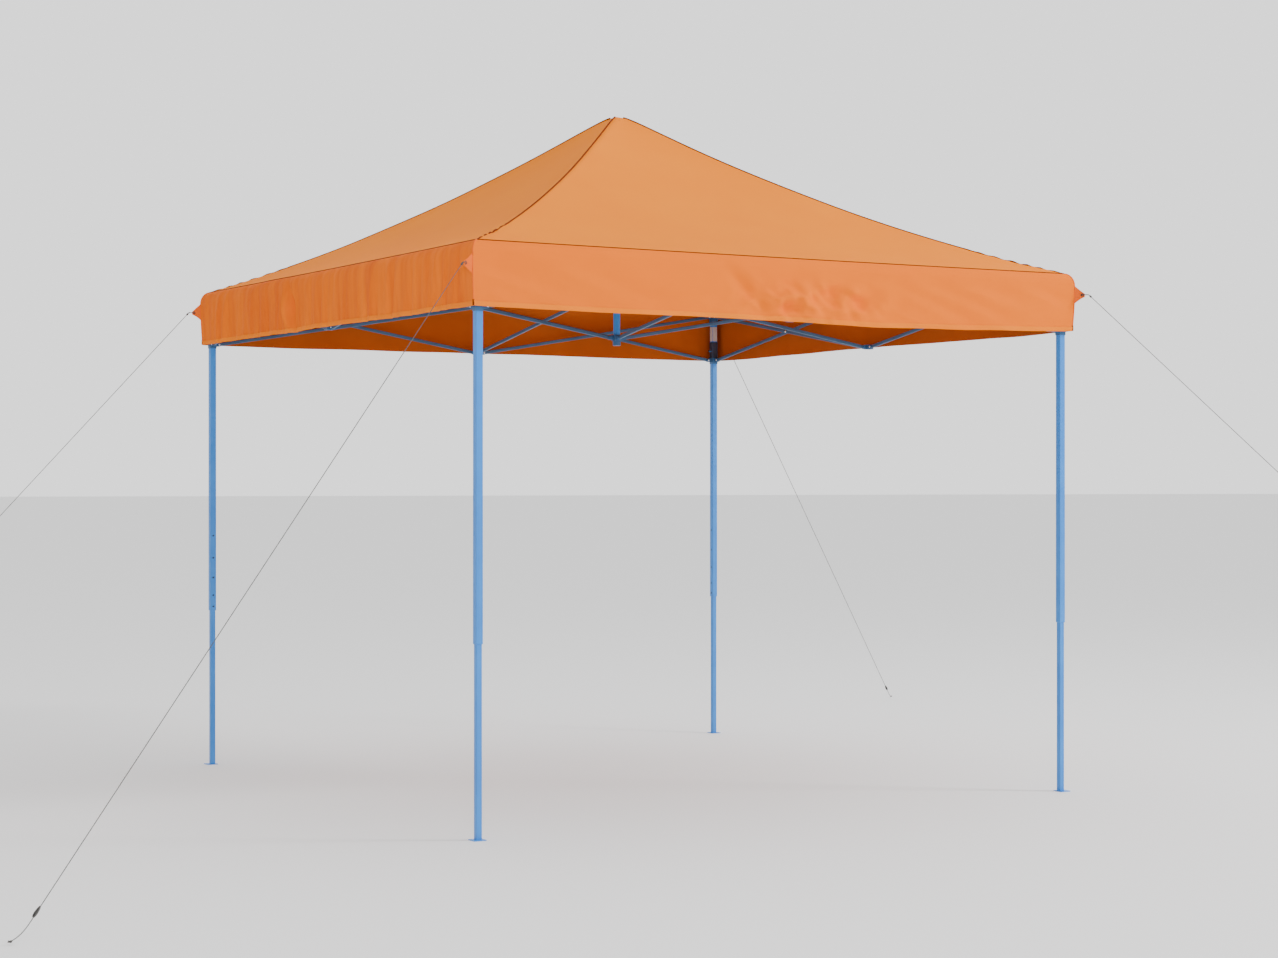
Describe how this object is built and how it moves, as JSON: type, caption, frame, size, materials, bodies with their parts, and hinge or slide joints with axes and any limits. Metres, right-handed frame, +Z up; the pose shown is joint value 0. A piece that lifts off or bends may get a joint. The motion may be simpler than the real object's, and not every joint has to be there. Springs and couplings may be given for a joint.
{
  "type": "pop up canopy",
  "caption": "Folding pop up canopy: square steel scissor frame on telescoping legs, centre mast, orange fabric roof with a valance, and guy ropes.",
  "frame": {"origin": "on the ground at the centre of the square of legs", "axes": "+Z up, the sides of the square along X and Y; the corner nearest the viewer of the picture is at -X, -Y"},
  "size_m": [7.3002, 6.445, 3.142],
  "materials": {
    "bar_paint": "satin light blue powder coat",
    "leg_paint": "satin light blue powder coat",
    "bracket": "blue moulded plastic",
    "slider": "darker blue moulded plastic",
    "mast_paint": "satin light blue powder coat",
    "cap": "matte black plastic",
    "canopy_cloth": "coated orange polyester cloth with a woven grain",
    "flap": "doubled orange cloth with a metal eyelet",
    "rope": "pale braided cord"
  },
  "bodies": {
    "hub_upper": {"hub_upper": "bracket", "canopy": "canopy_cloth", "rope_flaps": "flap", "guy_rope_front": "rope", "guy_rope_right": "rope", "guy_rope_back": "rope", "guy_rope_left": "rope"},
    "inner_top_front_right": {"inner_bar_top_front_right": "bar_paint"},
    "inner_slide_front_right": {"inner_bar_slide_front_right": "bar_paint"},
    "mid_lower_front_right": {"mid_lower_front_right": "bracket"},
    "mid_upper_front_right": {"mid_upper_front_right": "bracket"},
    "hub_lower": {"hub_lower": "bracket", "mast_outer": "mast_paint"},
    "mast_top": {"mast_inner": "mast_paint", "mast_cap": "cap"},
    "side_top_front_right_first": {"side_bar_top_front_right_first": "bar_paint"},
    "side_slide_front_right_first": {"side_bar_slide_front_right_first": "bar_paint"},
    "leg_front": {"leg_outer_front": "leg_paint", "leg_top_front": "bracket"},
    "slider_front": {"slider_front": "slider"},
    "leg_inner_front": {"leg_inner_front": "leg_paint"},
    "side_top_front_right_second": {"side_bar_top_front_right_second": "bar_paint"},
    "side_slide_front_right_second": {"side_bar_slide_front_right_second": "bar_paint"},
    "inner_top_back_right": {"inner_bar_top_back_right": "bar_paint"},
    "inner_slide_back_right": {"inner_bar_slide_back_right": "bar_paint"},
    "mid_lower_back_right": {"mid_lower_back_right": "bracket"},
    "mid_upper_back_right": {"mid_upper_back_right": "bracket"},
    "side_top_back_right_first": {"side_bar_top_back_right_first": "bar_paint"},
    "side_slide_back_right_first": {"side_bar_slide_back_right_first": "bar_paint"},
    "leg_right": {"leg_outer_right": "leg_paint", "leg_top_right": "bracket"},
    "slider_right": {"slider_right": "slider"},
    "leg_inner_right": {"leg_inner_right": "leg_paint"},
    "side_top_back_right_second": {"side_bar_top_back_right_second": "bar_paint"},
    "side_slide_back_right_second": {"side_bar_slide_back_right_second": "bar_paint"},
    "inner_top_back_left": {"inner_bar_top_back_left": "bar_paint"},
    "inner_slide_back_left": {"inner_bar_slide_back_left": "bar_paint"},
    "mid_lower_back_left": {"mid_lower_back_left": "bracket"},
    "mid_upper_back_left": {"mid_upper_back_left": "bracket"},
    "side_top_back_left_first": {"side_bar_top_back_left_first": "bar_paint"},
    "side_slide_back_left_first": {"side_bar_slide_back_left_first": "bar_paint"},
    "leg_back": {"leg_outer_back": "leg_paint", "leg_top_back": "bracket"},
    "slider_back": {"slider_back": "slider"},
    "leg_inner_back": {"leg_inner_back": "leg_paint"},
    "side_top_back_left_second": {"side_bar_top_back_left_second": "bar_paint"},
    "side_slide_back_left_second": {"side_bar_slide_back_left_second": "bar_paint"},
    "inner_top_front_left": {"inner_bar_top_front_left": "bar_paint"},
    "inner_slide_front_left": {"inner_bar_slide_front_left": "bar_paint"},
    "mid_lower_front_left": {"mid_lower_front_left": "bracket"},
    "mid_upper_front_left": {"mid_upper_front_left": "bracket"},
    "side_top_front_left_first": {"side_bar_top_front_left_first": "bar_paint"},
    "side_slide_front_left_first": {"side_bar_slide_front_left_first": "bar_paint"},
    "leg_left": {"leg_outer_left": "leg_paint", "leg_top_left": "bracket"},
    "slider_left": {"slider_left": "slider"},
    "leg_inner_left": {"leg_inner_left": "leg_paint"},
    "side_top_front_left_second": {"side_bar_top_front_left_second": "bar_paint"},
    "side_slide_front_left_second": {"side_bar_slide_front_left_second": "bar_paint"}
  },
  "joints": [
    {"name": "fold", "type": "hinge", "parent": "hub_upper", "child": "inner_top_front_right", "pos_m": [0.006, -0.035, 2.33], "axis": [1, 0, 0], "range_deg": [0, 75]},
    {"name": "cross_inner_front_right", "type": "hinge", "parent": "inner_top_front_right", "child": "inner_slide_front_right", "pos_m": [0, -0.74, 2.21], "axis": [-1, 0, 0], "range_deg": [0, 150]},
    {"name": "mid_lower_front_right_pin", "type": "hinge", "parent": "inner_top_front_right", "child": "mid_lower_front_right", "pos_m": [0.006, -1.445, 2.09], "axis": [-1, 0, 0], "range_deg": [0, 75]},
    {"name": "mid_upper_front_right_pin", "type": "hinge", "parent": "inner_slide_front_right", "child": "mid_upper_front_right", "pos_m": [-0.006, -1.445, 2.33], "axis": [1, 0, 0], "range_deg": [0, 75]},
    {"name": "hub_lower_pin", "type": "hinge", "parent": "inner_slide_front_right", "child": "hub_lower", "pos_m": [-0.006, -0.035, 2.09], "axis": [1, 0, 0], "range_deg": [0, 75]},
    {"name": "side_front_right_first", "type": "hinge", "parent": "mid_lower_front_right", "child": "side_top_front_right_first", "pos_m": [-0.03, -1.469, 2.09], "axis": [0, 1, 0], "range_deg": [0, 75]},
    {"name": "cross_front_right_first", "type": "hinge", "parent": "side_top_front_right_first", "child": "side_slide_front_right_first", "pos_m": [-0.735, -1.475, 2.21], "axis": [0, -1, 0], "range_deg": [0, 150]},
    {"name": "leg_front_pin", "type": "hinge", "parent": "side_top_front_right_first", "child": "leg_front", "pos_m": [-1.44, -1.469, 2.33], "axis": [0, -1, 0], "range_deg": [0, 75]},
    {"name": "slider_front_pin", "type": "hinge", "parent": "side_slide_front_right_first", "child": "slider_front", "pos_m": [-1.44, -1.481, 2.09], "axis": [0, 1, 0], "range_deg": [0, 75]},
    {"name": "leg_front_height", "type": "slide", "parent": "leg_front", "child": "leg_inner_front", "axis": [0, 0, 1], "range_m": [0, 0.72]},
    {"name": "side_front_right_second", "type": "hinge", "parent": "mid_lower_front_right", "child": "side_top_front_right_second", "pos_m": [0.03, -1.469, 2.09], "axis": [0, -1, 0], "range_deg": [0, 75]},
    {"name": "cross_front_right_second", "type": "hinge", "parent": "side_top_front_right_second", "child": "side_slide_front_right_second", "pos_m": [0.735, -1.475, 2.21], "axis": [0, 1, 0], "range_deg": [0, 150]},
    {"name": "fold_back_right", "type": "hinge", "parent": "hub_upper", "child": "inner_top_back_right", "pos_m": [0.035, 0.006, 2.33], "axis": [0, 1, 0], "range_deg": [0, 75]},
    {"name": "cross_inner_back_right", "type": "hinge", "parent": "inner_top_back_right", "child": "inner_slide_back_right", "pos_m": [0.74, 0, 2.21], "axis": [0, -1, 0], "range_deg": [0, 150]},
    {"name": "mid_lower_back_right_pin", "type": "hinge", "parent": "inner_top_back_right", "child": "mid_lower_back_right", "pos_m": [1.445, 0.006, 2.09], "axis": [0, -1, 0], "range_deg": [0, 75]},
    {"name": "mid_upper_back_right_pin", "type": "hinge", "parent": "inner_slide_back_right", "child": "mid_upper_back_right", "pos_m": [1.445, -0.006, 2.33], "axis": [0, 1, 0], "range_deg": [0, 75]},
    {"name": "side_back_right_first", "type": "hinge", "parent": "mid_lower_back_right", "child": "side_top_back_right_first", "pos_m": [1.469, -0.03, 2.09], "axis": [-1, 0, 0], "range_deg": [0, 75]},
    {"name": "cross_back_right_first", "type": "hinge", "parent": "side_top_back_right_first", "child": "side_slide_back_right_first", "pos_m": [1.475, -0.735, 2.21], "axis": [1, 0, 0], "range_deg": [0, 150]},
    {"name": "leg_right_pin", "type": "hinge", "parent": "side_top_back_right_first", "child": "leg_right", "pos_m": [1.469, -1.44, 2.33], "axis": [1, 0, 0], "range_deg": [0, 75]},
    {"name": "slider_right_pin", "type": "hinge", "parent": "side_slide_back_right_first", "child": "slider_right", "pos_m": [1.481, -1.44, 2.09], "axis": [-1, 0, 0], "range_deg": [0, 75]},
    {"name": "leg_right_height", "type": "slide", "parent": "leg_right", "child": "leg_inner_right", "axis": [0, 0, 1], "range_m": [0, 0.72]},
    {"name": "side_back_right_second", "type": "hinge", "parent": "mid_lower_back_right", "child": "side_top_back_right_second", "pos_m": [1.469, 0.03, 2.09], "axis": [1, 0, 0], "range_deg": [0, 75]},
    {"name": "cross_back_right_second", "type": "hinge", "parent": "side_top_back_right_second", "child": "side_slide_back_right_second", "pos_m": [1.475, 0.735, 2.21], "axis": [-1, 0, 0], "range_deg": [0, 150]},
    {"name": "fold_back_left", "type": "hinge", "parent": "hub_upper", "child": "inner_top_back_left", "pos_m": [-0.006, 0.035, 2.33], "axis": [-1, 0, 0], "range_deg": [0, 75]},
    {"name": "cross_inner_back_left", "type": "hinge", "parent": "inner_top_back_left", "child": "inner_slide_back_left", "pos_m": [0, 0.74, 2.21], "axis": [1, 0, 0], "range_deg": [0, 150]},
    {"name": "mid_lower_back_left_pin", "type": "hinge", "parent": "inner_top_back_left", "child": "mid_lower_back_left", "pos_m": [-0.006, 1.445, 2.09], "axis": [1, 0, 0], "range_deg": [0, 75]},
    {"name": "mid_upper_back_left_pin", "type": "hinge", "parent": "inner_slide_back_left", "child": "mid_upper_back_left", "pos_m": [0.006, 1.445, 2.33], "axis": [-1, 0, 0], "range_deg": [0, 75]},
    {"name": "side_back_left_first", "type": "hinge", "parent": "mid_lower_back_left", "child": "side_top_back_left_first", "pos_m": [0.03, 1.469, 2.09], "axis": [0, -1, 0], "range_deg": [0, 75]},
    {"name": "cross_back_left_first", "type": "hinge", "parent": "side_top_back_left_first", "child": "side_slide_back_left_first", "pos_m": [0.735, 1.475, 2.21], "axis": [0, 1, 0], "range_deg": [0, 150]},
    {"name": "leg_back_pin", "type": "hinge", "parent": "side_top_back_left_first", "child": "leg_back", "pos_m": [1.44, 1.469, 2.33], "axis": [0, 1, 0], "range_deg": [0, 75]},
    {"name": "slider_back_pin", "type": "hinge", "parent": "side_slide_back_left_first", "child": "slider_back", "pos_m": [1.44, 1.481, 2.09], "axis": [0, -1, 0], "range_deg": [0, 75]},
    {"name": "leg_back_height", "type": "slide", "parent": "leg_back", "child": "leg_inner_back", "axis": [0, 0, 1], "range_m": [0, 0.72]},
    {"name": "side_back_left_second", "type": "hinge", "parent": "mid_lower_back_left", "child": "side_top_back_left_second", "pos_m": [-0.03, 1.469, 2.09], "axis": [0, 1, 0], "range_deg": [0, 75]},
    {"name": "cross_back_left_second", "type": "hinge", "parent": "side_top_back_left_second", "child": "side_slide_back_left_second", "pos_m": [-0.735, 1.475, 2.21], "axis": [0, -1, 0], "range_deg": [0, 150]},
    {"name": "fold_front_left", "type": "hinge", "parent": "hub_upper", "child": "inner_top_front_left", "pos_m": [-0.035, -0.006, 2.33], "axis": [0, -1, 0], "range_deg": [0, 75]},
    {"name": "cross_inner_front_left", "type": "hinge", "parent": "inner_top_front_left", "child": "inner_slide_front_left", "pos_m": [-0.74, 0, 2.21], "axis": [0, 1, 0], "range_deg": [0, 150]},
    {"name": "mid_lower_front_left_pin", "type": "hinge", "parent": "inner_top_front_left", "child": "mid_lower_front_left", "pos_m": [-1.445, -0.006, 2.09], "axis": [0, 1, 0], "range_deg": [0, 75]},
    {"name": "mid_upper_front_left_pin", "type": "hinge", "parent": "inner_slide_front_left", "child": "mid_upper_front_left", "pos_m": [-1.445, 0.006, 2.33], "axis": [0, -1, 0], "range_deg": [0, 75]},
    {"name": "side_front_left_first", "type": "hinge", "parent": "mid_lower_front_left", "child": "side_top_front_left_first", "pos_m": [-1.469, 0.03, 2.09], "axis": [1, 0, 0], "range_deg": [0, 75]},
    {"name": "cross_front_left_first", "type": "hinge", "parent": "side_top_front_left_first", "child": "side_slide_front_left_first", "pos_m": [-1.475, 0.735, 2.21], "axis": [-1, 0, 0], "range_deg": [0, 150]},
    {"name": "leg_left_pin", "type": "hinge", "parent": "side_top_front_left_first", "child": "leg_left", "pos_m": [-1.469, 1.44, 2.33], "axis": [-1, 0, 0], "range_deg": [0, 75]},
    {"name": "slider_left_pin", "type": "hinge", "parent": "side_slide_front_left_first", "child": "slider_left", "pos_m": [-1.481, 1.44, 2.09], "axis": [1, 0, 0], "range_deg": [0, 75]},
    {"name": "leg_left_height", "type": "slide", "parent": "leg_left", "child": "leg_inner_left", "axis": [0, 0, 1], "range_m": [0, 0.72]},
    {"name": "side_front_left_second", "type": "hinge", "parent": "mid_lower_front_left", "child": "side_top_front_left_second", "pos_m": [-1.469, -0.03, 2.09], "axis": [-1, 0, 0], "range_deg": [0, 75]},
    {"name": "cross_front_left_second", "type": "hinge", "parent": "side_top_front_left_second", "child": "side_slide_front_left_second", "pos_m": [-1.475, -0.735, 2.21], "axis": [1, 0, 0], "range_deg": [0, 150]},
    {"name": "mast_rise", "type": "slide", "parent": "hub_lower", "child": "mast_top", "axis": [0, 0, 1], "range_m": [0, 0.48]}
  ],
  "couplings": [
    {"joint": "cross_inner_front_right", "follows": "fold", "ratio": 2},
    {"joint": "mid_lower_front_right_pin", "follows": "fold", "ratio": 1},
    {"joint": "mid_upper_front_right_pin", "follows": "fold", "ratio": 1},
    {"joint": "hub_lower_pin", "follows": "fold", "ratio": 1},
    {"joint": "side_front_right_first", "follows": "fold", "ratio": 1},
    {"joint": "cross_front_right_first", "follows": "fold", "ratio": 2},
    {"joint": "leg_front_pin", "follows": "fold", "ratio": 1},
    {"joint": "slider_front_pin", "follows": "fold", "ratio": 1},
    {"joint": "side_front_right_second", "follows": "fold", "ratio": 1},
    {"joint": "cross_front_right_second", "follows": "fold", "ratio": 2},
    {"joint": "fold_back_right", "follows": "fold", "ratio": 1},
    {"joint": "cross_inner_back_right", "follows": "fold", "ratio": 2},
    {"joint": "mid_lower_back_right_pin", "follows": "fold", "ratio": 1},
    {"joint": "mid_upper_back_right_pin", "follows": "fold", "ratio": 1},
    {"joint": "side_back_right_first", "follows": "fold", "ratio": 1},
    {"joint": "cross_back_right_first", "follows": "fold", "ratio": 2},
    {"joint": "leg_right_pin", "follows": "fold", "ratio": 1},
    {"joint": "slider_right_pin", "follows": "fold", "ratio": 1},
    {"joint": "side_back_right_second", "follows": "fold", "ratio": 1},
    {"joint": "cross_back_right_second", "follows": "fold", "ratio": 2},
    {"joint": "fold_back_left", "follows": "fold", "ratio": 1},
    {"joint": "cross_inner_back_left", "follows": "fold", "ratio": 2},
    {"joint": "mid_lower_back_left_pin", "follows": "fold", "ratio": 1},
    {"joint": "mid_upper_back_left_pin", "follows": "fold", "ratio": 1},
    {"joint": "side_back_left_first", "follows": "fold", "ratio": 1},
    {"joint": "cross_back_left_first", "follows": "fold", "ratio": 2},
    {"joint": "leg_back_pin", "follows": "fold", "ratio": 1},
    {"joint": "slider_back_pin", "follows": "fold", "ratio": 1},
    {"joint": "side_back_left_second", "follows": "fold", "ratio": 1},
    {"joint": "cross_back_left_second", "follows": "fold", "ratio": 2},
    {"joint": "fold_front_left", "follows": "fold", "ratio": 1},
    {"joint": "cross_inner_front_left", "follows": "fold", "ratio": 2},
    {"joint": "mid_lower_front_left_pin", "follows": "fold", "ratio": 1},
    {"joint": "mid_upper_front_left_pin", "follows": "fold", "ratio": 1},
    {"joint": "side_front_left_first", "follows": "fold", "ratio": 1},
    {"joint": "cross_front_left_first", "follows": "fold", "ratio": 2},
    {"joint": "leg_left_pin", "follows": "fold", "ratio": 1},
    {"joint": "slider_left_pin", "follows": "fold", "ratio": 1},
    {"joint": "side_front_left_second", "follows": "fold", "ratio": 1},
    {"joint": "cross_front_left_second", "follows": "fold", "ratio": 2},
    {"joint": "mast_rise", "follows": "fold", "m_per_rad": 0.36669}
  ]
}
